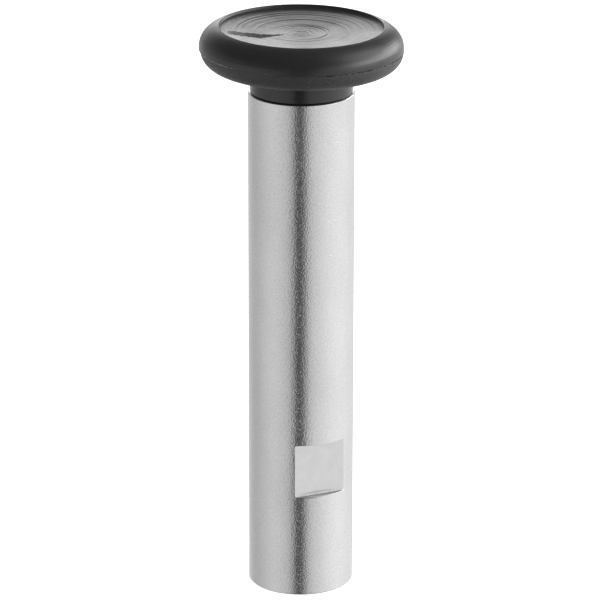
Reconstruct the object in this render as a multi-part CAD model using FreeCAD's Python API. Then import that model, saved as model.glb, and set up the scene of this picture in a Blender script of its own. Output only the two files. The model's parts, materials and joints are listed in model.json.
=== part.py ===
"""Bumper post: a round steel post with a moulded rubber bumper screwed into its upper end.

Millimetres, +Z up. The origin is the centre of the post's lower end face. The milled flat faces -Y.
Four pieces, one solid each:
  post          round bar with broken edges, a milled set-screw flat and a blind tapped hole
  pad           rubber mushroom with a dished top, a rounded rim and a short neck
  insert_plate  perforated steel disc bonded inside the rubber
  stud          threaded stud riveted into the disc, which screws the pad to the post
"""
import FreeCAD, Part
import math
import os

from FreeCAD import Vector

os.makedirs("parts", exist_ok=True)

# ---------------------------------------------------------------- driving dimensions
BAR_RADIUS = 12.5
BAR_LENGTH = 122.6
BAR_EDGE = 0.2              # chamfer round both ends of the bar

FLAT_DEPTH = 1.75           # how far the flat is milled into the bar
FLAT_BOTTOM = 25.2
FLAT_HEIGHT = 13.2

THREAD_RADIUS = 5.0         # M10
THREAD_PITCH = 1.5
THREAD_REACH = 20.0         # how far the stud goes into the post
HOLE_DEPTH = 26.0           # full-diameter depth of the drilled hole
HOLE_TIP_ANGLE = 118.0      # the drill's point
HOLE_RELIEF = 1.2           # the plain, wider mouth of the hole

NECK_RADIUS = 12.05
NECK_HEIGHT = 5.3
NECK_EDGE = 0.35            # rounded lower edge of the neck
NECK_FILLET = 0.7           # blend from the neck into the head's underside

HEAD_RADIUS = 24.0
UNDER_ROUND = 5.4           # rounding from the underside to the widest band
SIDE_BAND = 0.5             # upright band where the head is widest
RIM_ROUND = 4.6             # rounding from the band up to the crest of the rim
RIM_LAND = 0.15             # narrow flat along the crest
RIM_EDGE = 0.25             # rounding of the recess's sharp upper edge

RECESS_WALL_DEPTH = 0.8     # depth of the recess at the foot of its wall
RECESS_WALL_RUN = 1.2       # how far inwards the coved wall reaches
RECESS_CENTRE_DEPTH = 1.7   # the floor is dished: deepest in the middle
RECESS_FLAT = 1.5           # radius of the level spot in the middle of the floor

PLATE_RADIUS = 17.0
PLATE_THICKNESS = 2.0
PLATE_HEIGHT = 7.6          # underside of the disc above the post's top face
PLATE_HOLES = 6             # rubber keys through these
PLATE_HOLE_RADIUS = 2.0
PLATE_HOLE_CIRCLE = 12.5    # radius of the circle that the holes stand on

SHOULDER_RADIUS = 7.0       # stud's collar under the disc
TENON_RADIUS = 4.5          # stud's plain end through the disc
RIVET_RADIUS = 6.2          # the tenon's upset head on top of the disc
RIVET_HEIGHT = 1.4

# ---------------------------------------------------------------- derived dimensions
POST_TOP = BAR_LENGTH
FLAT_OFFSET = BAR_RADIUS - FLAT_DEPTH
UNDERSIDE = POST_TOP + NECK_HEIGHT
WIDEST = UNDERSIDE + UNDER_ROUND
RIM_START = WIDEST + SIDE_BAND
CREST = RIM_START + RIM_ROUND
LAND_OUTER = HEAD_RADIUS - RIM_ROUND
LAND_INNER = LAND_OUTER - RIM_LAND
PLATE_BOTTOM = POST_TOP + PLATE_HEIGHT
PLATE_TOP = PLATE_BOTTOM + PLATE_THICKNESS
SHOULDER_BOTTOM = UNDERSIDE + 0.3
SHANK_BOTTOM = POST_TOP - 1.0             # the stud's smooth part starts here

# thread form, as distances from the axis and half widths along it
SHARP_HEIGHT = THREAD_PITCH * math.sqrt(3.0) / 2.0
STUD_ROOT = THREAD_RADIUS - 17.0 / 24.0 * SHARP_HEIGHT
HOLE_RADIUS = THREAD_RADIUS - 5.0 / 8.0 * SHARP_HEIGHT
CREST_HALF_WIDTH = THREAD_PITCH / 16.0
FLANK_SLOPE = math.tan(math.radians(30.0))
THREAD_CLEARANCE = 0.03
MOUTH_RADIUS = THREAD_RADIUS + 0.2
MOUTH_FOOT = POST_TOP - HOLE_RELIEF - (MOUTH_RADIUS - HOLE_RADIUS)
THREAD_START = POST_TOP - THREAD_REACH - THREAD_PITCH
THREAD_TURN = 37.0          # where round the axis the thread starts, in degrees
ROOT_OVERLAP = 0.15         # the ridge starts this far inside its core, so the two fuse cleanly


# ---------------------------------------------------------------- shared shapes
def at(radius, height):
    """A point of a turned outline, in the XZ plane."""
    return Vector(radius, 0.0, height)


def line(start, end):
    """A straight edge."""
    return Part.LineSegment(start, end).toShape()


def arc(start, middle, end):
    """A circular edge through three points."""
    return Part.Arc(start, middle, end).toShape()


def round_arc(centre, radius, first_angle, last_angle):
    """A circular edge in the XZ plane, given its centre, radius and two angles in degrees."""
    points = []
    for angle in (first_angle, (first_angle + last_angle) / 2.0, last_angle):
        turn = math.radians(angle)
        points.append(at(centre.x + radius * math.cos(turn), centre.z + radius * math.sin(turn)))
    return arc(*points)


def revolve(edges):
    """The solid turned from a closed outline in the XZ plane."""
    outline = Part.Wire(Part.__sortEdges__(edges))
    return Part.Face(outline).revolve(Vector(), Vector(0.0, 0.0, 1.0), 360.0)


def polygon_edges(points):
    """The straight edges of a closed outline."""
    return [line(a, b) for a, b in zip(points, points[1:] + points[:1])]


def turned(points):
    """The solid turned from a closed outline of straight lines."""
    return revolve(polygon_edges(points))


def thread_ridge(root, crest, crest_half_width, high):
    """A helical ridge of trapezoid section from the thread's start up to high."""
    inner = root - ROOT_OVERLAP
    inner_half_width = crest_half_width + (crest - inner) * FLANK_SLOPE
    section = Part.makePolygon([
        at(inner, THREAD_START - inner_half_width),
        at(crest, THREAD_START - crest_half_width),
        at(crest, THREAD_START + crest_half_width),
        at(inner, THREAD_START + inner_half_width),
        at(inner, THREAD_START - inner_half_width),
    ])
    helix = Part.makeHelix(THREAD_PITCH, high - THREAD_START, inner)
    helix.translate(Vector(0.0, 0.0, THREAD_START))
    ridge = Part.Wire(helix.Edges).makePipeShell([section], True, True)
    ridge.rotate(Vector(), Vector(0.0, 0.0, 1.0), THREAD_TURN)
    return ridge


# ---------------------------------------------------------------- pieces
def make_post():
    """The bar, with its flat and its tapped hole."""
    rim = BAR_RADIUS - BAR_EDGE
    bar = turned([
        at(0.0, 0.0),
        at(rim, 0.0),
        at(BAR_RADIUS, BAR_EDGE),
        at(BAR_RADIUS, BAR_LENGTH - BAR_EDGE),
        at(rim, BAR_LENGTH),
        at(0.0, BAR_LENGTH),
    ])
    cutter = Part.makeBox(
        2.0 * BAR_RADIUS,
        BAR_RADIUS,
        FLAT_HEIGHT,
        Vector(-BAR_RADIUS, -FLAT_OFFSET - BAR_RADIUS, FLAT_BOTTOM),
    )
    hole_bottom = POST_TOP - HOLE_DEPTH
    tip = HOLE_RADIUS / math.tan(math.radians(HOLE_TIP_ANGLE / 2.0))
    above = 1.0
    drill = turned([
        at(0.0, hole_bottom - tip),
        at(HOLE_RADIUS, hole_bottom),
        at(HOLE_RADIUS, MOUTH_FOOT),
        at(MOUTH_RADIUS, POST_TOP - HOLE_RELIEF),
        at(MOUTH_RADIUS, POST_TOP + above),
        at(0.0, POST_TOP + above),
    ])
    groove = thread_ridge(
        HOLE_RADIUS,
        THREAD_RADIUS + THREAD_CLEARANCE,
        CREST_HALF_WIDTH + THREAD_CLEARANCE,
        MOUTH_FOOT,
    )
    return bar.cut(cutter).cut(drill.fuse(groove))


def make_stud_head():
    """The smooth part of the stud, from just below the post's top face upwards."""
    crest = THREAD_RADIUS - THREAD_CLEARANCE
    return turned([
        at(0.0, SHANK_BOTTOM),
        at(crest, SHANK_BOTTOM),
        at(crest, SHOULDER_BOTTOM),
        at(SHOULDER_RADIUS, SHOULDER_BOTTOM),
        at(SHOULDER_RADIUS, PLATE_BOTTOM),
        at(TENON_RADIUS, PLATE_BOTTOM),
        at(TENON_RADIUS, PLATE_TOP),
        at(RIVET_RADIUS, PLATE_TOP),
        at(RIVET_RADIUS - 0.5, PLATE_TOP + 0.9),
        at(RIVET_RADIUS - 2.2, PLATE_TOP + RIVET_HEIGHT),
        at(0.0, PLATE_TOP + RIVET_HEIGHT),
    ])


def make_stud(head):
    """The whole stud: its head and plain neck, with the thread below."""
    low = POST_TOP - THREAD_REACH
    depth = THREAD_RADIUS - STUD_ROOT
    crest = THREAD_RADIUS - THREAD_CLEARANCE
    core = turned([
        at(0.0, low),
        at(STUD_ROOT - CREST_HALF_WIDTH, low),
        at(STUD_ROOT, low + CREST_HALF_WIDTH),
        at(STUD_ROOT, SHANK_BOTTOM - depth),
        at(crest, SHANK_BOTTOM),
        at(0.0, SHANK_BOTTOM),
    ])
    ridge = thread_ridge(
        STUD_ROOT,
        crest,
        CREST_HALF_WIDTH - THREAD_CLEARANCE / 2.0,
        MOUTH_FOOT - THREAD_PITCH / 5.0,
    )
    envelope = turned([
        at(0.0, low),
        at(STUD_ROOT - CREST_HALF_WIDTH, low),
        at(THREAD_RADIUS, low + depth + CREST_HALF_WIDTH),
        at(THREAD_RADIUS, SHANK_BOTTOM),
        at(0.0, SHANK_BOTTOM),
    ])
    return core.fuse(ridge.common(envelope)).fuse(head)


def make_insert_plate():
    """The perforated disc that the rubber is bonded to."""
    disc = Part.makeCylinder(PLATE_RADIUS, PLATE_THICKNESS, Vector(0.0, 0.0, PLATE_BOTTOM))
    holes = [Part.makeCylinder(TENON_RADIUS, PLATE_THICKNESS, Vector(0.0, 0.0, PLATE_BOTTOM))]
    for number in range(PLATE_HOLES):
        turn = 2.0 * math.pi * number / PLATE_HOLES
        centre = Vector(
            PLATE_HOLE_CIRCLE * math.cos(turn),
            PLATE_HOLE_CIRCLE * math.sin(turn),
            PLATE_BOTTOM,
        )
        holes.append(Part.makeCylinder(PLATE_HOLE_RADIUS, PLATE_THICKNESS, centre))
    return disc.cut(Part.makeCompound(holes))


def make_pad(metal):
    """The rubber moulding, cast around the metal inside it."""
    edge_centre = at(NECK_RADIUS - NECK_EDGE, POST_TOP + NECK_EDGE)
    fillet_centre = at(NECK_RADIUS + NECK_FILLET, UNDERSIDE - NECK_FILLET)
    under_centre = at(HEAD_RADIUS - UNDER_ROUND, WIDEST)
    rim_centre = at(LAND_OUTER, RIM_START)
    edge_round_centre = at(LAND_INNER, CREST - RIM_EDGE)
    wall_top = at(LAND_INNER - RIM_EDGE, CREST - RIM_EDGE)
    wall_foot = at(wall_top.x - RECESS_WALL_RUN, CREST - RECESS_WALL_DEPTH)
    floor_centre = at(0.0, CREST - RECESS_CENTRE_DEPTH)
    flat_edge = at(RECESS_FLAT, floor_centre.z)
    floor_middle = at(
        (wall_foot.x + flat_edge.x) / 2.0,
        floor_centre.z + (wall_foot.z - floor_centre.z) / 4.0,
    )
    cove_middle = at(
        wall_foot.x + 0.70 * RECESS_WALL_RUN,
        wall_foot.z + 0.30 * (wall_top.z - wall_foot.z),
    )
    outline = [
        line(at(0.0, POST_TOP), at(NECK_RADIUS - NECK_EDGE, POST_TOP)),
        round_arc(edge_centre, NECK_EDGE, -90.0, 0.0),
        line(at(NECK_RADIUS, POST_TOP + NECK_EDGE), at(NECK_RADIUS, UNDERSIDE - NECK_FILLET)),
        round_arc(fillet_centre, NECK_FILLET, 180.0, 90.0),
        line(at(NECK_RADIUS + NECK_FILLET, UNDERSIDE), at(HEAD_RADIUS - UNDER_ROUND, UNDERSIDE)),
        round_arc(under_centre, UNDER_ROUND, -90.0, 0.0),
        line(at(HEAD_RADIUS, WIDEST), at(HEAD_RADIUS, RIM_START)),
        round_arc(rim_centre, RIM_ROUND, 0.0, 90.0),
        line(at(LAND_OUTER, CREST), at(LAND_INNER, CREST)),
        round_arc(edge_round_centre, RIM_EDGE, 90.0, 180.0),
        arc(wall_top, cove_middle, wall_foot),
        arc(wall_foot, floor_middle, flat_edge),
        line(flat_edge, floor_centre),
        line(floor_centre, at(0.0, POST_TOP)),
    ]
    return revolve(outline).cut(metal)


def main():
    head = make_stud_head()
    plate = make_insert_plate()
    pieces = {
        "post": make_post(),
        "pad": make_pad(head.fuse(plate)),
        "insert_plate": plate,
        "stud": make_stud(head),
    }
    for name, shape in pieces.items():
        solids = shape.Solids
        box = shape.BoundBox
        print(
            f"{name}: {len(solids)} solid, valid {shape.isValid()}, {shape.Volume:.1f} mm3, "
            f"z {box.ZMin:.2f} to {box.ZMax:.2f}, width {box.XLength:.2f}"
        )
        solids[0].exportStep(f"parts/{name}.step")


main()
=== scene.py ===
"""Bumper post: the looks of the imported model.

A blasted steel post with a milled flat, under a moulded rubber bumper. Metres, +Z up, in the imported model's
own frame. The flat faces -Y. The camera stands a little to its left and above.
"""

import json
import math

import bmesh
import bpy
import numpy as np
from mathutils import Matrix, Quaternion, Vector, noise


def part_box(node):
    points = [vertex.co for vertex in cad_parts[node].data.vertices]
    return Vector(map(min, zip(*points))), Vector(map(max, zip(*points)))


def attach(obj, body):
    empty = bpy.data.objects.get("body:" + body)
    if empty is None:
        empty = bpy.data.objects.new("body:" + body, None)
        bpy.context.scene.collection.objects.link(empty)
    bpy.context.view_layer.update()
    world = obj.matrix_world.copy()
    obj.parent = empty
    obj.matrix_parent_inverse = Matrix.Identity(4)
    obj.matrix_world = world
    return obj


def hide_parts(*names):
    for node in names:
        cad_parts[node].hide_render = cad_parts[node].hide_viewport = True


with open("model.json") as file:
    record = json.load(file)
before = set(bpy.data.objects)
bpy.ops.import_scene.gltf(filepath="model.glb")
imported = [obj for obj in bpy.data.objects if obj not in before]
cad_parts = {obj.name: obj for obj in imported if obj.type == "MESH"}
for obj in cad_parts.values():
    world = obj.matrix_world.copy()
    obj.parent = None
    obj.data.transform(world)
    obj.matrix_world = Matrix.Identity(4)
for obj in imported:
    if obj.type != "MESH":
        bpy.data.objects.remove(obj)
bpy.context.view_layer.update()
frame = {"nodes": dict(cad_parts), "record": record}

MM = 0.001
WELD = 0.0005 * MM              # points closer than this become one
SHARP_EDGE = math.radians(50)

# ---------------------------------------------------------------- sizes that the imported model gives
mounts = {mount["name"]: mount for mount in frame["record"]["mounts"]}
BAR_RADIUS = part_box("post")[1].x
BAR_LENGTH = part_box("post")[1].z
FLAT_OFFSET = -mounts["set_screw_flat"]["pos_m"][1]
FLAT_MIDDLE = mounts["set_screw_flat"]["pos_m"][2]
HEAD_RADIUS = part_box("pad")[1].x
HEAD_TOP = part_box("pad")[1].z
PLATE_LOW, PLATE_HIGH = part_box("insert_plate")
STUD_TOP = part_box("stud")[1].z

# ---------------------------------------------------------------- the post's details
FLAT_HEIGHT = 13.2 * MM
EDGE_BREAK = 0.03 * MM          # on the rims of the flat's two shelves
CORNER_FILLET = 0.28 * MM       # left by the cutter between the flat and each shelf
BURR_HEIGHT = 0.09 * MM         # thrown up by the cutter along the flat's outline
BURR_WIDTH = 0.13 * MM
END_CHAMFER = 0.2 * MM
BORE_RADIUS = 5.08 * MM         # clears the stud's thread, which the pad hides
BORE_DEPTH = 26.0 * MM
BORE_TIP = 3.0 * MM

FLAT_COLUMNS = 61
BACK_COLUMNS = 301
# Where the mesh is cut finer: round the flat's upright edges in burr widths, up each fillet in degrees, and
# on the bar's surface beside each shelf.
BURR_COLUMNS = (-4.0, -3.0, -2.2, -1.6, -1.1, -0.7, -0.35, 0.0, 0.3, 0.7, 1.3, 2.2)
FILLET_TURNS = (8, 18, 28, 38, 48, 58, 68, 78, 90)
BESIDE_SHELF = (0.4 * MM, 0.3 * MM, 0.22 * MM, 0.15 * MM)

# ---------------------------------------------------------------- the pad's details
PAD_TILT = math.radians(0.5)    # the head sits a hair askew
NECK_RADIUS = 12.05 * MM
NECK_HEIGHT = 5.3 * MM
NECK_EDGE = 0.35 * MM
NECK_FILLET = 0.7 * MM
UNDERSIDE = BAR_LENGTH + NECK_HEIGHT
UNDER_RADIUS = 16.2 * MM
WIDE_RADIUS = HEAD_RADIUS - 0.12 * MM   # leaves room for the flash and the mould halves' step
WIDE_HEIGHT = UNDERSIDE + 5.4 * MM
CREST_RADIUS = 19.3 * MM
RIM_CENTRE = 16.8 * MM          # the rim's upper curve is still rising where the recess cuts it off
RIM_POWER = 2.1
CREST = HEAD_TOP - CREST_RADIUS * math.sin(PAD_TILT) - 0.01 * MM
RIM_EDGE = 0.14 * MM
WALL_FOOT_RADIUS = 17.9 * MM
WALL_FOOT = CREST - 0.8 * MM
RECESS_CENTRE = CREST - 1.7 * MM
PARTING_HEIGHT = WIDE_HEIGHT - 0.5 * MM
FLASH = 0.10 * MM               # stands out at the parting line, most on the camera's left
SEAM_DEPTH = 0.30 * MM          # flash that came away leaves a nick, most on the camera's right
MOULD_STEP = 0.12 * MM          # the lower mould half sits this much to the right
LOWER_TRIM = 0.12 * MM          # and is this much smaller in radius
SEAM_REACH = 0.6 * MM           # the parting line's marks stay within this height of it
SHOULDER_RADIUS = 7.0 * MM      # the stud's shoulder, moulded into the neck
RIVET_RADIUS = 6.2 * MM
PAD_COLUMNS = 480
RECESS_RINGS = (                # radius, width and rise in mm, and the side where it is strongest, in degrees
    (5.8, 0.20, 0.120, 125),
    (6.4, 0.30, -0.060, 125),
    (8.0, 0.18, 0.050, 0),
    (10.8, 0.20, 0.080, 180),
    (12.6, 0.16, 0.030, -60),
    (14.2, 0.18, 0.070, 180),
    (15.4, 0.20, 0.080, -130),
    (16.6, 0.25, -0.040, 90),
)
RING_RISE = 0.75                # share of those rises that is used
SWIRL_RADIUS = 5.2 * MM
SWIRL_RISE = 0.045 * MM
DARK_PATCH_DEPTH = 0.03 * MM
DARK_NICK = 0.27                # nicks deeper than this share of SEAM_DEPTH get the painted-shade material

# ---------------------------------------------------------------- the camera
CAMERA_AZIMUTH = math.radians(-24.3)
CAMERA_ELEVATION = math.radians(19.3)
CAMERA_DISTANCE = 950.0 * MM
CAMERA_LENS = 239.9
CAMERA_ROLL = math.radians(0.085)
AIM_HEIGHT = 70.8 * MM
AIM_SIDE = -0.25 * MM           # the object stands a hair right of the picture's middle
TOWARDS = Vector((math.sin(CAMERA_AZIMUTH), -math.cos(CAMERA_AZIMUTH), 0.0))
RIGHTWARDS = Vector((math.cos(CAMERA_AZIMUTH), math.sin(CAMERA_AZIMUTH), 0.0))


# ---------------------------------------------------------------- small shape helpers
def arc(centre, radii, start, stop, count, power=2.0):
    """Points along an ellipse, or a superellipse of that power, between two angles in degrees."""
    points = []
    for step in range(count + 1):
        angle = math.radians(start + (stop - start) * step / count)
        c, s = math.cos(angle), math.sin(angle)
        x = math.copysign(abs(c) ** (2.0 / power), c)
        z = math.copysign(abs(s) ** (2.0 / power), s)
        points.append((centre[0] + radii[0] * x, centre[1] + radii[1] * z))
    return points


def line(start, end, step):
    """Points along a straight line, about step apart, both ends included."""
    count = max(1, round(math.dist(start, end) / step))
    return [
        (start[0] + (end[0] - start[0]) * k / count, start[1] + (end[1] - start[1]) * k / count)
        for k in range(count + 1)
    ]


def joined(*runs):
    """One outline from several runs of points, without repeats."""
    outline = []
    for run in runs:
        for point in run:
            if not outline or math.dist(point, outline[-1]) > 1e-7:
                outline.append(point)
    return outline


def refined(outline, low, high, step):
    """The outline with its pieces between two heights cut into steps no longer than step."""
    points = [outline[0]]
    for before, after in zip(outline, outline[1:]):
        if low < min(before[1], after[1]) and max(before[1], after[1]) < high:
            points += line(before, after, step)[1:]
        else:
            points.append(after)
    return points


def smooth_step(values, low, high):
    """0 below low, 1 above high, smooth between."""
    t = np.clip((values - low) / (high - low), 0.0, 1.0)
    return t * t * (3.0 - 2.0 * t)


def bell(values, centre, width):
    """A smooth bump of height 1."""
    return np.exp(-(((values - centre) / width) ** 2))


def wander(values, size, seed):
    """Smooth noise from -1 to 1 along a line, its features about size long."""
    return np.array([noise.noise((float(v) / size, 7.3 * seed, 2.1 * seed)) for v in values])


def turned_faces(rows, columns, first):
    """Quads between rows of a turned surface, whose points start at number first."""
    faces = []
    for row in range(rows - 1):
        low = first + row * columns
        high = low + columns
        for column in range(columns):
            right = (column + 1) % columns
            faces.append((low + column, low + right, high + right, high + column))
    return faces


def fans(low_pole, first, last, high_pole, columns):
    """Triangles that close a turned surface at its two poles."""
    faces = []
    for column in range(columns):
        right = (column + 1) % columns
        faces.append((low_pole, first + right, first + column))
        faces.append((high_pole, last + column, last + right))
    return faces


def grid_mesh(name, x, y, z, low_pole, high_pole):
    """A closed smooth object from rows by columns of points and its two poles on the axis."""
    rows, columns = x.shape
    points = np.stack([x.ravel(), y.ravel(), z.ravel()], axis=1).tolist()
    points += [(0.0, 0.0, low_pole), (0.0, 0.0, high_pole)]
    count = rows * columns
    faces = turned_faces(rows, columns, 0)
    faces += fans(count, 0, count - columns, count + 1, columns)
    mesh = bpy.data.meshes.new(name)
    mesh.from_pydata(points, [], faces)
    work = bmesh.new()
    work.from_mesh(mesh)
    bmesh.ops.remove_doubles(work, verts=work.verts, dist=WELD)
    bmesh.ops.dissolve_degenerate(work, edges=work.edges, dist=WELD)
    bmesh.ops.recalc_face_normals(work, faces=work.faces)
    work.to_mesh(mesh)
    work.free()
    mesh.validate()
    mesh.shade_smooth()
    mesh.set_sharp_from_angle(angle=SHARP_EDGE)
    obj = bpy.data.objects.new(name, mesh)
    bpy.context.scene.collection.objects.link(obj)
    return obj


# ---------------------------------------------------------------- the post
def post_columns():
    """Angles round the post, from the middle of the flat, with extra ones at the flat's two upright edges."""
    edge = math.acos(FLAT_OFFSET / BAR_RADIUS)
    fine = np.array(BURR_COLUMNS) * BURR_WIDTH / BAR_RADIUS
    on_flat = np.linspace(-edge + 0.03, edge - 0.03, FLAT_COLUMNS)
    round_back = np.linspace(edge + 0.07, 2 * math.pi - edge - 0.07, BACK_COLUMNS)
    angles = np.concatenate([-edge - fine, edge + fine, on_flat, round_back])
    return np.unique(np.round(np.mod(angles, 2 * math.pi), 9)), edge


def post_rows():
    """Rows up the outside: height, the most that the row is cut in from the bar's surface, and the fillet."""
    low = FLAT_MIDDLE - FLAT_HEIGHT / 2
    high = FLAT_MIDDLE + FLAT_HEIGHT / 2
    depth = BAR_RADIUS - FLAT_OFFSET
    shelf = [EDGE_BREAK * 0.35, EDGE_BREAK, EDGE_BREAK * 1.6]
    shelf += [0.3 * MM, 0.6 * MM, 0.9 * MM, 1.2 * MM, 1.5 * MM, depth]
    fillet = []
    for turn in FILLET_TURNS:
        rise = CORNER_FILLET * (1.0 - math.cos(math.radians(turn)))
        fillet.append((rise, CORNER_FILLET * (1.0 - math.sin(math.radians(turn)))))
    rows = []
    rows.append((END_CHAMFER, 0.0, 0.0))
    rows.append((END_CHAMFER + 0.04 * MM, 0.0, 0.0))
    for z, _ in line((END_CHAMFER + 0.2 * MM, 0.0), (low - 0.5 * MM, 0.0), 1.0 * MM):
        rows.append((z, 0.0, 0.0))
    for below in BESIDE_SHELF:
        rows.append((low - EDGE_BREAK - below, 0.0, 0.0))
    rows.append((low - EDGE_BREAK * 2.0, 0.0, 0.0))
    rows.append((low - EDGE_BREAK, 0.0, 0.0))
    rows.append((low - EDGE_BREAK * 0.3, shelf[0], 0.0))
    for cut in shelf[1:]:
        rows.append((low, cut, CORNER_FILLET))
    for rise, inward in fillet:
        rows.append((low + rise, depth, inward))
    for z, _ in line((low + 0.6 * MM, 0.0), (high - 0.6 * MM, 0.0), 0.3 * MM):
        rows.append((z, depth, 0.0))
    for rise, inward in reversed(fillet):
        rows.append((high - rise, depth, inward))
    for cut in reversed(shelf[1:]):
        rows.append((high, cut, CORNER_FILLET))
    rows.append((high + EDGE_BREAK * 0.3, shelf[0], 0.0))
    rows.append((high + EDGE_BREAK, 0.0, 0.0))
    rows.append((high + EDGE_BREAK * 2.0, 0.0, 0.0))
    for above in reversed(BESIDE_SHELF):
        rows.append((high + EDGE_BREAK + above, 0.0, 0.0))
    for z, _ in line((high + 0.7 * MM, 0.0), (BAR_LENGTH - END_CHAMFER - 0.2 * MM, 0.0), 1.0 * MM):
        rows.append((z, 0.0, 0.0))
    rows.append((BAR_LENGTH - END_CHAMFER - 0.04 * MM, 0.0, 0.0))
    rows.append((BAR_LENGTH - END_CHAMFER, 0.0, 0.0))
    return rows


def burr(angles, z, edge):
    """How far the burr stands up, on the flat's left edge and the left of its lower and upper edges."""
    low = FLAT_MIDDLE - FLAT_HEIGHT / 2
    high = FLAT_MIDDLE + FLAT_HEIGHT / 2
    side = (np.mod(angles + math.pi, 2 * math.pi) - math.pi) * BAR_RADIUS
    beside = np.abs(side) - edge * BAR_RADIUS
    on_left = np.where(side < 0.0, 1.0, 0.0)
    ragged = 1.0 + 0.35 * noise.noise((0.0, z / (0.9 * MM), 4.0))
    upright = on_left * ragged * bell(beside, 0.7 * BURR_WIDTH, BURR_WIDTH)
    leftmost = 1.0 - smooth_step(side, -2.0 * MM, 1.0 * MM)
    upright = upright * smooth_step(z, low - 0.2 * MM, low) * (1.0 - smooth_step(z, high, high + 0.2 * MM))
    along = 1.0 - smooth_step(beside, -0.3 * MM, 0.1 * MM)
    wave = 1.0 + 0.3 * wander(side, 1.1 * MM, 3)
    lower = leftmost * along * wave * bell(z, low - EDGE_BREAK - 0.1 * MM, BURR_WIDTH)
    upper = 0.2 * leftmost * along * wave * bell(z, high + EDGE_BREAK + 0.1 * MM, BURR_WIDTH)
    return BURR_HEIGHT * np.maximum(upright, np.maximum(lower, upper))


def make_post():
    """The bar with its flat, broken edges and burr, and the bore in its top end."""
    angles, edge = post_columns()
    towards_flat = np.cos(np.mod(angles + math.pi, 2 * math.pi) - math.pi)
    chord = np.where(towards_flat > math.cos(edge), FLAT_OFFSET / np.maximum(towards_flat, 0.1), BAR_RADIUS)
    circle = np.ones(len(angles))
    inner_chamfer = BAR_RADIUS - END_CHAMFER * 0.93
    outer_chamfer = BAR_RADIUS - END_CHAMFER * 0.04
    rings = []
    for radius in np.linspace(0.6 * MM, BAR_RADIUS - END_CHAMFER - 0.5 * MM, 12):
        rings.append((radius * circle, 0.0))
    rings.append(((BAR_RADIUS - END_CHAMFER) * circle, 0.0))
    rings.append((inner_chamfer * circle, 0.005 * MM))
    rings.append((outer_chamfer * circle, END_CHAMFER * 0.93))
    for z, cut, fillet in post_rows():
        radius = np.minimum(BAR_RADIUS, np.maximum(chord + fillet, BAR_RADIUS - cut))
        on_bar = (radius > BAR_RADIUS - 0.01 * MM) * (cut == 0.0)
        rings.append((radius + burr(angles, z, edge) * on_bar, z))
    rings.append((outer_chamfer * circle, BAR_LENGTH - END_CHAMFER * 0.93))
    rings.append((inner_chamfer * circle, BAR_LENGTH - 0.005 * MM))
    for radius in np.linspace(BAR_RADIUS - END_CHAMFER, BORE_RADIUS, 12):
        rings.append((radius * circle, BAR_LENGTH))
    for z in np.linspace(BAR_LENGTH, BAR_LENGTH - BORE_DEPTH, 14)[1:]:
        rings.append((BORE_RADIUS * circle, z))
    radius = np.stack([ring for ring, _ in rings])
    z = np.repeat(np.array([height for _, height in rings])[:, None], len(angles), axis=1)
    x = radius * np.sin(angles)
    y = -radius * np.cos(angles)
    return grid_mesh("post_bar", x, y, z, 0.0, BAR_LENGTH - BORE_DEPTH - BORE_TIP)


def assign_milled_faces(obj):
    """The flat, its shelves and the bar's ends take the second material."""
    low = FLAT_MIDDLE - FLAT_HEIGHT / 2 - 0.02 * MM
    high = FLAT_MIDDLE + FLAT_HEIGHT / 2 + 0.02 * MM
    for face in obj.data.polygons:
        x, y, z = face.center
        reach = math.hypot(x, y)
        in_flat = low < z < high and reach < BAR_RADIUS - 0.03 * MM and y < 0.0
        at_end = abs(face.normal.z) > 0.9 and (z < END_CHAMFER or z > BAR_LENGTH - END_CHAMFER)
        in_bore = reach < BORE_RADIUS + 0.05 * MM and z > BAR_LENGTH - BORE_DEPTH - 2 * BORE_TIP
        if in_flat or at_end or in_bore:
            face.material_index = 1


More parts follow.
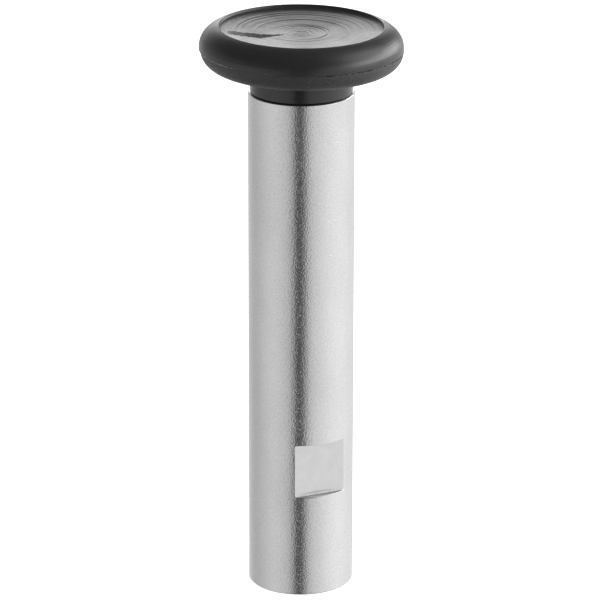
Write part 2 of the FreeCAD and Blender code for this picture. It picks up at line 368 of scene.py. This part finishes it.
# ---------------------------------------------------------------- the pad
def pad_outline():
    """The pad's section: from the rivet's top round the insert, and up the outside into the recess."""
    plate_radius = PLATE_HIGH.x
    inside = joined(
        line((0.5 * MM, STUD_TOP), (RIVET_RADIUS, STUD_TOP), 1.0 * MM),
        line((RIVET_RADIUS, STUD_TOP), (RIVET_RADIUS, PLATE_HIGH.z), 1.0 * MM),
        line((RIVET_RADIUS, PLATE_HIGH.z), (plate_radius, PLATE_HIGH.z), 1.5 * MM),
        line((plate_radius, PLATE_HIGH.z), (plate_radius, PLATE_LOW.z), 1.0 * MM),
        line((plate_radius, PLATE_LOW.z), (SHOULDER_RADIUS, PLATE_LOW.z), 1.5 * MM),
        line((SHOULDER_RADIUS, PLATE_LOW.z), (SHOULDER_RADIUS, BAR_LENGTH), 1.0 * MM),
        line((SHOULDER_RADIUS, BAR_LENGTH), (NECK_RADIUS - NECK_EDGE, BAR_LENGTH), 1.0 * MM),
    )
    neck = joined(
        arc((NECK_RADIUS - NECK_EDGE, BAR_LENGTH + NECK_EDGE), (NECK_EDGE, NECK_EDGE), -90, 0, 8),
        line((NECK_RADIUS, BAR_LENGTH + NECK_EDGE), (NECK_RADIUS, UNDERSIDE - NECK_FILLET), 0.4 * MM),
        arc((NECK_RADIUS + NECK_FILLET, UNDERSIDE - NECK_FILLET), (NECK_FILLET, NECK_FILLET), 180, 90, 10),
    )
    under_width = WIDE_RADIUS - UNDER_RADIUS
    under_height = WIDE_HEIGHT - UNDERSIDE
    rim_width = WIDE_RADIUS - RIM_CENTRE
    cut_off = 1.0 - ((CREST_RADIUS - RIM_CENTRE) / rim_width) ** RIM_POWER
    rim_height = (CREST - WIDE_HEIGHT) / cut_off ** (1.0 / RIM_POWER)
    whole_rim = arc((RIM_CENTRE, WIDE_HEIGHT), (rim_width, rim_height), 0, 90, 140, RIM_POWER)
    rim = [point for point in whole_rim if point[0] > CREST_RADIUS]
    side = joined(
        line((NECK_RADIUS + NECK_FILLET, UNDERSIDE), (UNDER_RADIUS, UNDERSIDE), 0.3 * MM),
        arc((UNDER_RADIUS, WIDE_HEIGHT), (under_width, under_height), -90, 0, 90, 2.5),
        rim,
        [(CREST_RADIUS, CREST)],
    )
    foot = (WALL_FOOT_RADIUS, WALL_FOOT)
    lip = (CREST_RADIUS - RIM_EDGE, CREST - RIM_EDGE)
    wall = joined(
        arc((CREST_RADIUS, CREST - RIM_EDGE), (RIM_EDGE, RIM_EDGE), 90, 180, 8),
        [
            (
                lip[0] + (foot[0] - lip[0]) * (1.0 - math.cos(math.radians(turn))),
                lip[1] + (foot[1] - lip[1]) * math.sin(math.radians(turn)),
            )
            for turn in range(5, 91, 6)
        ],
    )
    reaches = np.linspace(WALL_FOOT_RADIUS, 0.15 * MM, 200)
    bowl = WALL_FOOT - RECESS_CENTRE
    floor = [(reach, RECESS_CENTRE + bowl * (reach / WALL_FOOT_RADIUS) ** 2) for reach in reaches]
    side = refined(side, PARTING_HEIGHT - 0.8 * MM, PARTING_HEIGHT + 0.8 * MM, 0.035 * MM)
    return np.array(inside), np.array(joined(neck, side, wall, floor))


def parting_line(turn, above):
    """Ridge and nick of the parting line, at angles round the axis and heights above the line."""
    relative = np.mod(turn - CAMERA_AZIMUTH + math.pi, 2 * math.pi) - math.pi
    left = bell(relative, math.radians(-72), math.radians(40))
    right = bell(relative, math.radians(60), math.radians(44))
    slow = np.array([noise.noise((5.0 * math.sin(a), 5.0 * math.cos(a), 2.0)) for a in turn.ravel()])
    quick = np.array([noise.noise((38.0 * math.sin(a), 38.0 * math.cos(a), 3.0)) for a in turn.ravel()])
    slow, quick = slow.reshape(turn.shape), quick.reshape(turn.shape)
    above = above - 0.05 * MM * slow - 0.04 * MM * quick
    ragged = np.clip(0.6 + 0.9 * slow + 0.5 * quick, 0.1, 1.2)
    nicked = np.clip(0.45 + 0.7 * slow + 1.5 * quick, 0.0, 1.2)
    ridge = bell(above, 0.0, 0.20 * MM) * (0.15 + 0.85 * left) * (1.0 - 0.8 * right) * ragged
    nick = bell(above, -0.14 * MM, 0.12 * MM) * (0.1 + 0.25 * left + 0.9 * right) * nicked
    return ridge, nick


def ring_relief(radius, turn):
    """Height of the recess's moulded rings, each strongest on one side, over many faint tool marks."""
    relative = turn - CAMERA_AZIMUTH
    height = np.zeros((len(radius), len(turn)))
    for place, width, rise, strong_side in RECESS_RINGS:
        side = 0.55 + 0.45 * np.cos(relative - math.radians(strong_side))
        height += RING_RISE * rise * MM * bell(radius, place * MM, width * MM)[:, None] * side[None, :]
    marks = 0.036 * MM * wander(radius, 0.60 * MM, 5) + 0.016 * MM * wander(radius, 0.28 * MM, 6)
    around = np.array([noise.noise((1.6 * math.sin(a), 1.6 * math.cos(a), 9.0)) for a in turn])
    uneven = 1.0 + 0.6 * around
    return height + marks[:, None] * uneven[None, :]


def swirl(x, y):
    """Height of the gate's small swirl of marks at the middle of the recess."""
    reach = np.hypot(x, y)
    near = reach < SWIRL_RADIUS
    height = np.zeros_like(x)
    for index in np.argwhere(near):
        spot = tuple(index)
        a = math.atan2(y[spot], x[spot])
        r = reach[spot] / MM
        twisted = (1.3 * r, 0.9 * math.sin(a), 0.9 * math.cos(a))
        finer = (2.9 * r, 2.2 * math.sin(a), 2.2 * math.cos(a))
        height[spot] = noise.noise(twisted) + 0.5 * noise.noise(finer)
    fade = 1.0 - smooth_step(reach, 3.6 * MM, SWIRL_RADIUS)
    return SWIRL_RISE * height * fade * smooth_step(reach, 0.0, 0.5 * MM)


def dark_patch_mask(across, nearer):
    """The brush-shaped darker, rougher patch on the recess's floor, in metres right of its centre and towards
    the viewer.
    """
    along = across / MM
    aside = nearer / MM
    middle = np.interp(along, (-17.0, -13.0, -9.5, -7.0, -3.9), (3.1, 3.8, 4.4, 3.2, 1.7))
    half_places = (-17.2, -16.2, -12.0, -8.5, -7.0, -5.5, -3.6)
    half = np.interp(along, half_places, (1.0, 1.6, 1.9, 1.7, 0.9, 0.6, 0.0))
    ragged = []
    for a, b in zip(along.ravel().tolist(), aside.ravel().tolist()):
        coarse = noise.noise((a / 0.45, b / 1.6, 1.0))
        ragged.append(coarse + 0.5 * noise.noise((a / 0.2, b / 0.9, 5.0)))
    ragged = np.array(ragged).reshape(along.shape)
    distance = np.abs(aside - middle) - half + 0.75 * ragged
    inside = 1.0 - smooth_step(distance, -0.35, 0.35)
    strength = np.interp(along, (-17.0, -13.5, -10.0, -7.5, -4.0), (0.40, 0.60, 0.95, 0.9, 0.75))
    strength = strength * (1.0 + 0.35 * ragged)
    ends = smooth_step(along, -17.3, -16.7) * (1.0 - smooth_step(along, -4.2, -3.6))
    return np.clip(inside * strength * ends, 0.0, 1.0)


def make_pad():
    """The moulded head and neck, with a cavity for the insert that it is moulded round."""
    inside, outside = pad_outline()
    outline = np.concatenate([inside, outside])
    reach, level = outline.T
    in_cavity = np.arange(len(outline)) < len(inside)
    turn = np.linspace(0.0, 2 * math.pi, PAD_COLUMNS, endpoint=False)
    radius = np.repeat(outline[:, 0:1], PAD_COLUMNS, axis=1)
    z = np.repeat(outline[:, 1:2], PAD_COLUMNS, axis=1)

    in_recess = (reach < WALL_FOOT_RADIUS) & (level > RECESS_CENTRE - 0.05 * MM) & ~in_cavity
    fade = (1.0 - smooth_step(reach, WALL_FOOT_RADIUS - 0.6 * MM, WALL_FOOT_RADIUS)) * in_recess
    z += fade[:, None] * ring_relief(reach, turn)

    outer = (reach > UNDER_RADIUS) & ~in_cavity
    near = outer & (np.abs(level - PARTING_HEIGHT) < SEAM_REACH)
    angles, heights = np.meshgrid(turn, level[near] - PARTING_HEIGHT)
    ridge, nick = parting_line(angles, heights)
    radius[near] += FLASH * ridge - SEAM_DEPTH * nick
    lower_half = 1.0 - smooth_step(level, PARTING_HEIGHT - 0.05 * MM, PARTING_HEIGHT + 0.02 * MM)
    trimmed = smooth_step(reach, UNDER_RADIUS, WIDE_RADIUS) * outer * lower_half
    radius -= LOWER_TRIM * trimmed[:, None]
    step = smooth_step(reach, UNDER_RADIUS, WIDE_RADIUS - 2.0 * MM) * outer * lower_half

    x = radius * np.sin(turn) + RIGHTWARDS.x * MOULD_STEP * step[:, None]
    y = -radius * np.cos(turn) + RIGHTWARDS.y * MOULD_STEP * step[:, None]
    across = x * RIGHTWARDS.x + y * RIGHTWARDS.y
    nearer = x * TOWARDS.x + y * TOWARDS.y
    scuff = np.zeros_like(x)
    scuff[in_recess] = dark_patch_mask(across[in_recess], nearer[in_recess])
    z[in_recess] += swirl(x[in_recess], y[in_recess])
    z -= DARK_PATCH_DEPTH * scuff
    askew = smooth_step(level, BAR_LENGTH + NECK_EDGE, UNDERSIDE) * ~in_cavity
    z -= math.sin(PAD_TILT) * across * askew[:, None]
    return grid_mesh("pad_moulding", x, y, z, STUD_TOP, RECESS_CENTRE + 0.05 * MM)


def assign_painted_shade_faces(obj):
    """The nicks in the parting line and the crease between neck and head take the second material, whose dark
    colour is painted shade.
    """
    polygons = obj.data.polygons
    centres = np.zeros(len(polygons) * 3)
    polygons.foreach_get("center", centres)
    x, y, z = centres.reshape(-1, 3).T
    across = x * RIGHTWARDS.x + y * RIGHTWARDS.y
    reach = np.hypot(x, y)
    above = z + math.sin(PAD_TILT) * across - PARTING_HEIGHT
    near = np.flatnonzero((np.abs(above) < SEAM_REACH) & (reach > UNDER_RADIUS + 4.0 * MM))
    nick = parting_line(np.arctan2(x[near], -y[near]), above[near])[1]
    index = np.zeros(len(polygons), dtype=np.int32)
    index[near[nick > DARK_NICK]] = 1
    # painted shade in the crease between neck and head
    in_crease = np.abs(z + math.sin(PAD_TILT) * across - UNDERSIDE + 0.3 * MM) < 0.35 * MM
    by_neck = (reach > NECK_RADIUS - 0.2 * MM) & (reach < NECK_RADIUS + 0.5 * MM)
    index[in_crease & by_neck] = 1
    polygons.foreach_set("material_index", index)


def mark_pad(obj):
    """Float attributes for the pad's material: darker patch, rough lower half, neck, and a painted highlight
    on the flash ridge.
    """
    mesh = obj.data
    count = len(mesh.vertices)
    co = np.zeros(count * 3)
    mesh.vertices.foreach_get("co", co)
    x, y, z = co.reshape(-1, 3).T
    reach = np.hypot(x, y)
    across = x * RIGHTWARDS.x + y * RIGHTWARDS.y
    nearer = x * TOWARDS.x + y * TOWARDS.y
    level = z + math.sin(PAD_TILT) * across
    scuff = np.zeros(count)
    in_recess = (reach < WALL_FOOT_RADIUS) & (level > RECESS_CENTRE - 0.3 * MM)
    near_dark_patch = in_recess & (across < 0.0) & (nearer > -4 * MM)
    scuff[near_dark_patch] = dark_patch_mask(across[near_dark_patch], nearer[near_dark_patch])
    grain = 1.5 * MM
    ragged = np.array([noise.noise((a / grain, b / grain, 0.0)) for a, b in zip(x.tolist(), y.tolist())])
    rough_level = level + 0.10 * MM * ragged
    lower = 1.0 - smooth_step(rough_level, PARTING_HEIGHT - 0.08 * MM, PARTING_HEIGHT + 0.02 * MM)
    neck = 1.0 - smooth_step(reach, NECK_RADIUS + 0.3 * MM, NECK_RADIUS + NECK_FILLET)
    neck = neck * (1.0 - smooth_step(level, UNDERSIDE, UNDERSIDE + 0.1 * MM))
    flash_highlight = np.zeros(count)
    at_seam = (reach > UNDER_RADIUS + 4.0 * MM) & (np.abs(level - PARTING_HEIGHT) < SEAM_REACH)
    ridge = parting_line(np.arctan2(x[at_seam], -y[at_seam]), level[at_seam] - PARTING_HEIGHT)[0]
    # painted highlight: where the flash ridge stands highest, the rubber's colour is lightened
    flash_highlight[at_seam] = smooth_step(ridge, 0.18, 0.50)
    for name, values in (
        ("scuff", scuff),
        ("lower_half", lower * (1.0 - neck)),
        ("neck", neck),
        ("torn_flash", flash_highlight),
    ):
        mesh.attributes.new(name, "FLOAT", "POINT").data.foreach_set("value", values.astype(np.float32))


# ---------------------------------------------------------------- materials
def add(tree, kind, inputs=None, **settings):
    """A node with its settings, and inputs given as numbers, colours or other nodes' outputs."""
    node = tree.nodes.new(kind)
    for key, value in settings.items():
        setattr(node, key, value)
    for key, value in (inputs or {}).items():
        if isinstance(value, bpy.types.NodeSocket):
            tree.links.new(value, node.inputs[key])
        else:
            node.inputs[key].default_value = value
    return node


def maths(tree, operation, first, second=None, clamp=False):
    """The output of a Math node."""
    inputs = {0: first} if second is None else {0: first, 1: second}
    return add(tree, "ShaderNodeMath", inputs, operation=operation, use_clamp=clamp).outputs[0]


def between(tree, value, low, high, out_low, out_high, smooth=False):
    """value mapped from low..high to out_low..out_high."""
    kind = "SMOOTHSTEP" if smooth else "LINEAR"
    inputs = {"Value": value, "From Min": low, "From Max": high, "To Min": out_low, "To Max": out_high}
    return add(tree, "ShaderNodeMapRange", inputs, interpolation_type=kind).outputs["Result"]


def noise_of(tree, vector, size, detail=2.0, roughness=0.5):
    """Noise whose features are about size across, in metres."""
    inputs = {"Vector": vector, "Scale": 1.0 / size, "Detail": detail, "Roughness": roughness}
    return add(tree, "ShaderNodeTexNoise", inputs).outputs["Fac"]


def stretched(tree, vector, scale):
    """vector times scale, one number for each axis."""
    return add(tree, "ShaderNodeVectorMath", {0: vector, 1: scale}, operation="MULTIPLY").outputs[0]


def colour_mix(tree, factor, first, second):
    """A colour between two others. A Mix node's colours are its inputs 6 and 7, and its output 2."""
    return add(tree, "ShaderNodeMix", {0: factor, 6: first, 7: second}, data_type="RGBA").outputs[2]


def grey_mix(tree, factor, dark, light):
    """A grey between two others."""
    return colour_mix(tree, factor, (dark, dark, dark, 1.0), (light, light, light, 1.0))


def spots(tree, place, size):
    """Distance from the nearest of many scattered points, about size apart, in metres."""
    return add(tree, "ShaderNodeTexVoronoi", {"Vector": place, "Scale": 1.0 / size}).outputs["Distance"]


def roughen(tree, shader, height, depth):
    """A bump on the shader's surface: height times depth, in metres."""
    bump = add(tree, "ShaderNodeBump", {"Height": height, "Strength": 1.0, "Distance": depth})
    tree.links.new(bump.outputs[0], shader.inputs["Normal"])


def attribute(tree, name):
    """A float attribute of the mesh."""
    return add(tree, "ShaderNodeAttribute", attribute_name=name).outputs["Fac"]


def begin(name):
    """A new material with its tree, its shader and the object's own coordinates."""
    material = bpy.data.materials.new(name)
    material.use_nodes = True
    tree = material.node_tree
    shader = tree.nodes["Principled BSDF"]
    place = tree.nodes.new("ShaderNodeTexCoord").outputs["Object"]
    return material, tree, shader, place


def radius_of(tree, place):
    """Distance from the part's axis."""
    flat = stretched(tree, place, (1.0, 1.0, 0.0))
    return add(tree, "ShaderNodeVectorMath", {0: flat}, operation="LENGTH").outputs["Value"]


def rings_of(tree, place, size, detail=2.0, height=0.027):
    """Noise that changes with distance from the axis, and with height where that is given."""
    radius = radius_of(tree, place)
    vector = add(tree, "ShaderNodeCombineXYZ", {"X": radius, "Y": 0.013, "Z": height}).outputs[0]
    return noise_of(tree, vector, size, detail, 0.6)


def blasted_steel():
    """Grey steel with the fine even grain of grit blasting, a little darker in soft blotches."""
    material, tree, shader, place = begin("blasted_steel")
    grain = noise_of(tree, stretched(tree, place, (1.0, 1.0, 1.1)), 0.37 * MM, 1.0, 0.6)
    pit = between(tree, spots(tree, place, 0.9 * MM), 0.08, 0.26, 1.0, 0.0, True)
    blotch = noise_of(tree, stretched(tree, place, (1.0, 1.0, 0.45)), 9.0 * MM, 3.0, 0.55)
    tone = maths(tree, "ADD", maths(tree, "MULTIPLY", grain, 0.55), maths(tree, "MULTIPLY", blotch, 0.45))
    tone = between(tree, tone, 0.34, 0.66, 0.0, 1.0)
    tone = maths(tree, "SUBTRACT", tone, maths(tree, "MULTIPLY", pit, 0.5), clamp=True)
    tree.links.new(grey_mix(tree, tone, 0.545, 0.635), shader.inputs["Base Color"])
    tree.links.new(between(tree, blotch, 0.3, 0.7, 0.12, 0.15), shader.inputs["Roughness"])
    dent = between(tree, spots(tree, place, 0.52 * MM), 0.06, 0.36, 0.0, 1.0, True)
    height = maths(tree, "ADD", maths(tree, "MULTIPLY", grain, 0.75), maths(tree, "MULTIPLY", dent, 0.24))
    roughen(tree, shader, height, 0.070 * MM)
    shader.inputs["Metallic"].default_value = 1.0
    return material


def milled_steel():
    """Bright steel with the faint sweeping marks of an end mill, over turned marks on the bar's ends."""
    material, tree, shader, place = begin("milled_steel")
    sweep = noise_of(tree, stretched(tree, place, (0.12, 1.0, 1.0)), 0.16 * MM, 2.0, 0.6)
    cloud = noise_of(tree, place, 3.5 * MM, 3.0, 0.5)
    turned = rings_of(tree, place, 0.12 * MM)
    height = maths(tree, "ADD", sweep, turned)
    tone = between(tree, cloud, 0.3, 0.7, 0.0, 1.0)
    tree.links.new(grey_mix(tree, tone, 0.56, 0.61), shader.inputs["Base Color"])
    tree.links.new(between(tree, cloud, 0.3, 0.7, 0.22, 0.268), shader.inputs["Roughness"])
    roughen(tree, shader, height, 0.003 * MM)
    shader.inputs["Metallic"].default_value = 1.0
    return material


def zinc_steel(name, ring_size):
    """Zinc-plated steel for the insert and the stud, with turned marks under the plating."""
    material, tree, shader, place = begin(name)
    cloud = noise_of(tree, place, 2.0 * MM, 4.0, 0.6)
    spangle = spots(tree, place, 1.3 * MM)
    tone = maths(tree, "ADD", maths(tree, "MULTIPLY", cloud, 0.6), maths(tree, "MULTIPLY", spangle, 0.4))
    colour = colour_mix(tree, tone, (0.47, 0.49, 0.52, 1.0), (0.66, 0.67, 0.66, 1.0))
    tree.links.new(colour, shader.inputs["Base Color"])
    tree.links.new(between(tree, cloud, 0.3, 0.7, 0.28, 0.42), shader.inputs["Roughness"])
    roughen(tree, shader, rings_of(tree, place, ring_size), 0.006 * MM)
    shader.inputs["Metallic"].default_value = 1.0
    return material


def moulded_rubber():
    """Black rubber: satin with fine streaks above the parting line, rough below it, glossy on the neck."""
    material, tree, shader, place = begin("moulded_rubber")
    scuff = attribute(tree, "scuff")
    lower = attribute(tree, "lower_half")
    neck = attribute(tree, "neck")
    flash_highlight = attribute(tree, "torn_flash")
    height_up = add(tree, "ShaderNodeSeparateXYZ", {0: place}).outputs["Z"]
    streaks = rings_of(tree, place, 0.42 * MM, 3.0, height_up)
    patches = noise_of(tree, place, 5.0 * MM, 3.0, 0.55)
    skin = noise_of(tree, place, 0.25 * MM, 2.0, 0.6)
    dimples = noise_of(tree, place, 1.1 * MM, 2.0, 0.6)
    speckle = noise_of(tree, place, 0.5 * MM, 3.0, 0.7)

    tone = between(tree, patches, 0.3, 0.7, 0.0, 1.0)
    tone = maths(tree, "ADD", maths(tree, "MULTIPLY", tone, 0.5), maths(tree, "MULTIPLY", streaks, 0.5))
    base = grey_mix(tree, tone, 0.014, 0.025)
    rough_tone = between(tree, speckle, 0.35, 0.7, 0.0, 1.0)
    rough_grey = grey_mix(tree, rough_tone, 0.018, 0.042)
    colour = colour_mix(tree, lower, base, rough_grey)
    # a darker, rougher, slightly sunken brush-shaped patch on the recess floor
    colour = colour_mix(tree, scuff, colour, (0.014, 0.014, 0.014, 1.0))
    # painted highlight: light grey along the flash ridge at the parting line
    colour = colour_mix(tree, flash_highlight, colour, (0.30, 0.30, 0.30, 1.0))
    tree.links.new(colour, shader.inputs["Base Color"])

    roughness = between(tree, patches, 0.3, 0.7, 0.282, 0.36)
    roughness = maths(tree, "ADD", roughness, maths(tree, "MULTIPLY", lower, 0.12))
    roughness = maths(tree, "ADD", roughness, maths(tree, "MULTIPLY", scuff, 0.45))
    roughness = maths(tree, "SUBTRACT", roughness, maths(tree, "MULTIPLY", neck, 0.14), clamp=True)
    tree.links.new(roughness, shader.inputs["Roughness"])

    upper_streaks = maths(tree, "MULTIPLY", streaks, between(tree, lower, 0.0, 1.0, 1.0, 0.15))
    height = maths(tree, "MULTIPLY", upper_streaks, 2.2)
    height = maths(tree, "ADD", height, maths(tree, "MULTIPLY", skin, 0.4))
    height = maths(tree, "ADD", height, maths(tree, "MULTIPLY", dimples, 0.7))
    height = maths(tree, "MULTIPLY", height, between(tree, neck, 0.0, 1.0, 1.0, 0.15))
    rough_half = maths(tree, "MULTIPLY", speckle, lower)
    rough_dark_patch = maths(tree, "MULTIPLY", skin, scuff)
    height = maths(tree, "ADD", height, maths(tree, "MULTIPLY", rough_half, 4.5))
    height = maths(tree, "ADD", height, maths(tree, "MULTIPLY", rough_dark_patch, 2.5))
    roughen(tree, shader, height, 0.028 * MM)
    shader.inputs["IOR"].default_value = 1.5
    return material


def rubber_crevice():
    """Painted shade: the same rubber made darker and less shiny where light hardly gets in."""
    material, tree, shader, place = begin("rubber_crevice")
    tone = noise_of(tree, place, 0.3 * MM, 2.0, 0.6)
    # painted shade: near-black colour and weak reflection stand in for the shade in nicks and the neck crease
    tree.links.new(grey_mix(tree, tone, 0.004, 0.012), shader.inputs["Base Color"])
    shader.inputs["Roughness"].default_value = 0.9
    shader.inputs["Specular IOR Level"].default_value = 0.12
    roughen(tree, shader, tone, 0.02 * MM)
    return material


# ---------------------------------------------------------------- light, floor and camera
# Degrees round from the camera's side, and brightness, below and above the horizon. The levels were chosen
# and tuned until the render's brightness came near the brightness profiles measured in the photograph.
LOW_RING = (
    (-180, 0.36), (-173, 0.42), (-163, 0.80), (-150, 0.74), (-120, 0.66), (-90, 0.80), (-60, 0.92),
    (-45, 0.86), (-30, 0.76), (-22, 0.66), (-17, 0.50), (-12, 0.18), (-8, 0.11), (-1, 0.11), (5, 0.23),
    (12, 0.52), (18, 0.77), (27, 0.90), (40, 1.00), (60, 1.16), (100, 1.28), (140, 1.10), (163, 0.95),
    (173, 0.45), (180, 0.36),
)
HIGH_RING = (
    (-180, 3.3), (-171, 2.4), (-160, 0.9), (-145, 0.50), (-110, 0.45), (-80, 0.45), (-50, 0.35), (-20, 0.18),
    (15, 0.18), (25, 0.65), (42, 1.30), (65, 1.30), (110, 1.10), (140, 1.00), (150, 0.70), (157, 0.35),
    (164, 0.60), (172, 2.4), (180, 3.3),
)
HORIZON_BLEND = (-6, 6)         # degrees above the horizon, where the low ring gives way to the high one
OVERHEAD = 0.22
OVERHEAD_BLEND = (14, 30)
UNDERFOOT = 0.42                # share of the low light that is left straight below
UNDERFOOT_BLEND = (-62, -34)
SIDE_LAMP = 4.2                 # a soft lamp on the camera's right, low down
LAMP_SIDES = (58, 142)          # degrees round from the camera's side
LAMP_HEIGHTS = (2, 24)          # degrees above the horizon
WINDOW = 2.2                    # a weaker light above the lamp
WINDOW_SIDES = (66, 130)
WINDOW_HEIGHTS = (24, 58)
HIGHEST_LIGHT = 6.0             # the ring curves' scale: no level above this can be given


def ring_curve(tree, turn, points):
    """Brightness round the horizon, from (degrees from the camera's side, brightness) points."""
    node = add(tree, "ShaderNodeFloatCurve", {"Value": turn})
    curve = node.mapping.curves[0]
    for index, (degrees, level) in enumerate(points):
        place = ((degrees + 180.0) / 360.0, level / HIGHEST_LIGHT)
        if index in (0, len(points) - 1):
            curve.points[0 if index == 0 else -1].location = place
        else:
            curve.points.new(*place)
    node.mapping.update()
    return maths(tree, "MULTIPLY", node.outputs[0], HIGHEST_LIGHT)


def sine(degrees):
    """The height of a direction that many degrees above the horizon."""
    return math.sin(math.radians(degrees))


def share(degrees):
    """That many degrees round from the camera's side, as a share of the turn from -180 to 180."""
    return 0.5 + degrees / 360


def band(tree, value, low, high, soft):
    """1 between low and high, falling to 0 over soft on each side."""
    rise = between(tree, value, low - soft / 2, low + soft / 2, 0.0, 1.0, True)
    fall = between(tree, value, high - soft / 2, high + soft / 2, 1.0, 0.0, True)
    return maths(tree, "MULTIPLY", rise, fall)


def value_mix(tree, factor, first, second):
    """first where factor is 0 and second where it is 1."""
    kept = maths(tree, "MULTIPLY", first, maths(tree, "SUBTRACT", 1.0, factor))
    return maths(tree, "ADD", kept, maths(tree, "MULTIPLY", factor, second))


def make_light():
    """A soft studio all round: white, brighter behind and to the right, with a dark gap on the camera's side.

    The camera itself sees plain white.
    """
    world = bpy.data.worlds.new("studio")
    bpy.context.scene.world = world
    world.use_nodes = True
    tree = world.node_tree
    background = tree.nodes["Background"]
    background.inputs["Color"].default_value = (1.0, 1.0, 1.0, 1.0)
    direction = tree.nodes.new("ShaderNodeTexCoord").outputs["Generated"]
    rightwards = add(tree, "ShaderNodeVectorMath", {0: direction, 1: RIGHTWARDS}, operation="DOT_PRODUCT")
    towards = add(tree, "ShaderNodeVectorMath", {0: direction, 1: TOWARDS}, operation="DOT_PRODUCT")
    angle = maths(tree, "ARCTAN2", rightwards.outputs["Value"], towards.outputs["Value"])
    turn = between(tree, angle, -math.pi, math.pi, 0.0, 1.0)
    height = add(tree, "ShaderNodeSeparateXYZ", {0: direction}).outputs["Z"]
    low = ring_curve(tree, turn, LOW_RING)
    high = ring_curve(tree, turn, HIGH_RING)
    lift = between(tree, height, *map(sine, HORIZON_BLEND), 0.0, 1.0, True)
    ring = value_mix(tree, lift, low, high)
    top = between(tree, height, *map(sine, OVERHEAD_BLEND), 0.0, 1.0, True)
    level = value_mix(tree, top, ring, OVERHEAD)
    deep = between(tree, height, *map(sine, UNDERFOOT_BLEND), UNDERFOOT, 1.0, True)
    level = maths(tree, "MULTIPLY", level, deep)
    lamp_round = band(tree, turn, share(LAMP_SIDES[0]), share(LAMP_SIDES[1]), 26 / 360)
    lamp_up = band(tree, height, sine(LAMP_HEIGHTS[0]), sine(LAMP_HEIGHTS[1]), 0.10)
    lamp = maths(tree, "MULTIPLY", lamp_round, lamp_up)
    level = maths(tree, "ADD", level, maths(tree, "MULTIPLY", lamp, SIDE_LAMP))
    window_round = band(tree, turn, share(WINDOW_SIDES[0]), share(WINDOW_SIDES[1]), 30 / 360)
    window_up = band(tree, height, sine(WINDOW_HEIGHTS[0]), sine(WINDOW_HEIGHTS[1]), 0.20)
    window = maths(tree, "MULTIPLY", window_round, window_up)
    level = maths(tree, "ADD", level, maths(tree, "MULTIPLY", window, WINDOW))
    seen = tree.nodes.new("ShaderNodeLightPath").outputs["Is Camera Ray"]
    level = value_mix(tree, seen, level, 1.0)
    tree.links.new(level, background.inputs["Strength"])


def make_floor():
    """A plain white floor that only the camera sees: it isn't mirrored in the object and lights nothing."""
    size = 6.0
    corners = [(-size, -size, 0), (size, -size, 0), (size, size, 0), (-size, size, 0)]
    mesh = bpy.data.meshes.new("floor")
    mesh.from_pydata(corners, [], [(0, 1, 2, 3)])
    floor = bpy.data.objects.new("floor", mesh)
    bpy.context.scene.collection.objects.link(floor)
    material, tree, shader, place = begin("white_floor")
    tone = noise_of(tree, place, 0.05, 2.0)
    tree.links.new(grey_mix(tree, tone, 0.86, 0.88), shader.inputs["Base Color"])
    shader.inputs["Roughness"].default_value = 0.9
    shader.inputs["Emission Color"].default_value = (1.0, 1.0, 1.0, 1.0)
    shader.inputs["Emission Strength"].default_value = 0.9
    mesh.materials.append(material)
    floor.visible_glossy = False
    floor.visible_diffuse = False
    floor.visible_shadow = False


def make_camera():
    """The camera at the photograph's angle, with no shift."""
    data = bpy.data.cameras.new("camera")
    data.sensor_width = 36.0
    data.lens = CAMERA_LENS
    data.clip_start = 0.01
    data.clip_end = 50.0
    camera = bpy.data.objects.new("camera", data)
    bpy.context.scene.collection.objects.link(camera)
    back = TOWARDS * math.cos(CAMERA_ELEVATION) + Vector((0.0, 0.0, math.sin(CAMERA_ELEVATION)))
    aim = Vector((0.0, 0.0, AIM_HEIGHT)) + RIGHTWARDS * AIM_SIDE
    camera.location = aim + back * CAMERA_DISTANCE
    level = (-back).to_track_quat("-Z", "Y")
    camera.rotation_euler = (level @ Quaternion((0.0, 0.0, 1.0), CAMERA_ROLL)).to_euler()
    bpy.context.scene.camera = camera
    bpy.context.scene.view_settings.view_transform = "Standard"


# ---------------------------------------------------------------- the scene
make_camera()
make_light()
make_floor()

post = make_post()
post.data.materials.append(blasted_steel())
post.data.materials.append(milled_steel())
assign_milled_faces(post)
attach(post, "root")
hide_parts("post")

pad = make_pad()
mark_pad(pad)
pad.data.materials.append(moulded_rubber())
pad.data.materials.append(rubber_crevice())
assign_painted_shade_faces(pad)
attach(pad, "root")
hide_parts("pad")

for node_name, ring_size in (("insert_plate", 0.30 * MM), ("stud", 0.18 * MM)):
    for holder in frame["nodes"][node_name].material_slots:
        holder.material = zinc_steel("zinc_" + node_name, ring_size)
